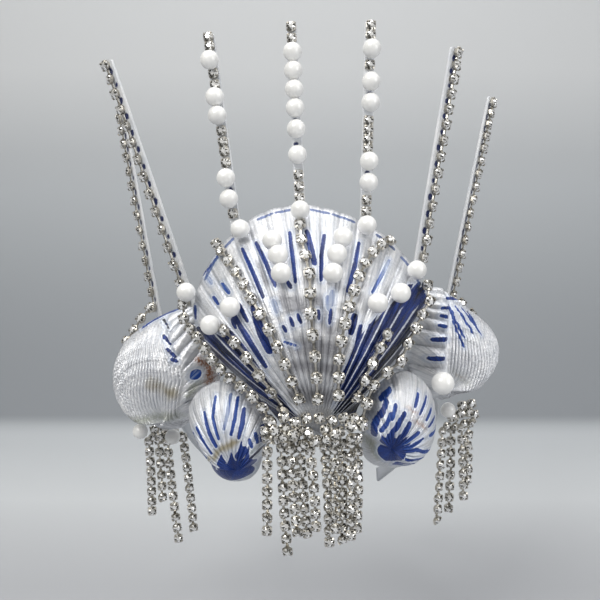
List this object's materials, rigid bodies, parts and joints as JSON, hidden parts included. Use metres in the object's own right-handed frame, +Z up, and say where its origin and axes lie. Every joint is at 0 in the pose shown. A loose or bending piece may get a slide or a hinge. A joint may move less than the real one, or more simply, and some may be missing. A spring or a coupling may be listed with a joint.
{
  "type": "seashell tiara",
  "caption": "Ornamental tiara on a headband: painted sea shells, tall stone-trimmed spikes, pearls, stone chains over the shells and hanging chain fringes.",
  "frame": {"origin": "the head_seat mount: the middle of the headband's inner face at the front, where the tiara sits on the head", "axes": "+Z up, +X to the right as seen from the front, -Y towards the front"},
  "size_m": [0.1881, 0.1456, 0.2491],
  "materials": {
    "shell": "natural shell painted silver-white with cobalt strokes in its grooves",
    "pearl": "pearl lustre",
    "chain": "silver cups with clear cut stones",
    "strip": "white, slightly translucent",
    "band": "satin grey"
  },
  "bodies": {
    "root": {"headband": "band", "scallop": "shell", "pearl_01": "pearl", "pearl_02": "pearl", "pearl_03": "pearl", "pearl_04": "pearl", "pearl_05": "pearl", "pearl_06": "pearl", "pearl_07": "pearl", "pearl_08": "pearl", "pearl_09": "pearl", "pearl_10": "pearl", "pearl_11": "pearl", "pearl_12": "pearl", "pearl_13": "pearl", "pearl_14": "pearl", "pearl_15": "pearl", "face_chain_a": "chain", "face_chain_b": "chain", "face_chain_d": "chain", "face_chain_e": "chain", "face_chain_g": "chain", "cockle_lower_left": "shell", "cockle_lower_right": "shell", "cockle_outer_left": "shell", "cockle_outer_right": "shell", "pearl_16": "pearl", "pearl_17": "pearl", "pearl_18": "pearl", "pearl_19": "pearl", "seam_chain_left": "chain", "seam_chain_right": "chain", "edge_chain_left": "chain", "edge_chain_right": "chain", "spike_1": "strip", "spike_trim_1": "chain", "spike_2": "strip", "spike_trim_2": "chain", "spike_3": "strip", "spike_trim_3": "chain", "spike_4": "strip", "spike_trim_4": "chain", "spike_5": "strip", "spike_trim_5": "chain", "spike_6": "strip", "spike_trim_6": "chain", "spike_7": "strip", "spike_trim_7": "chain", "fringe_centre": "chain", "fringe_left": "chain", "fringe_right": "chain"}
  },
  "joints": []
}
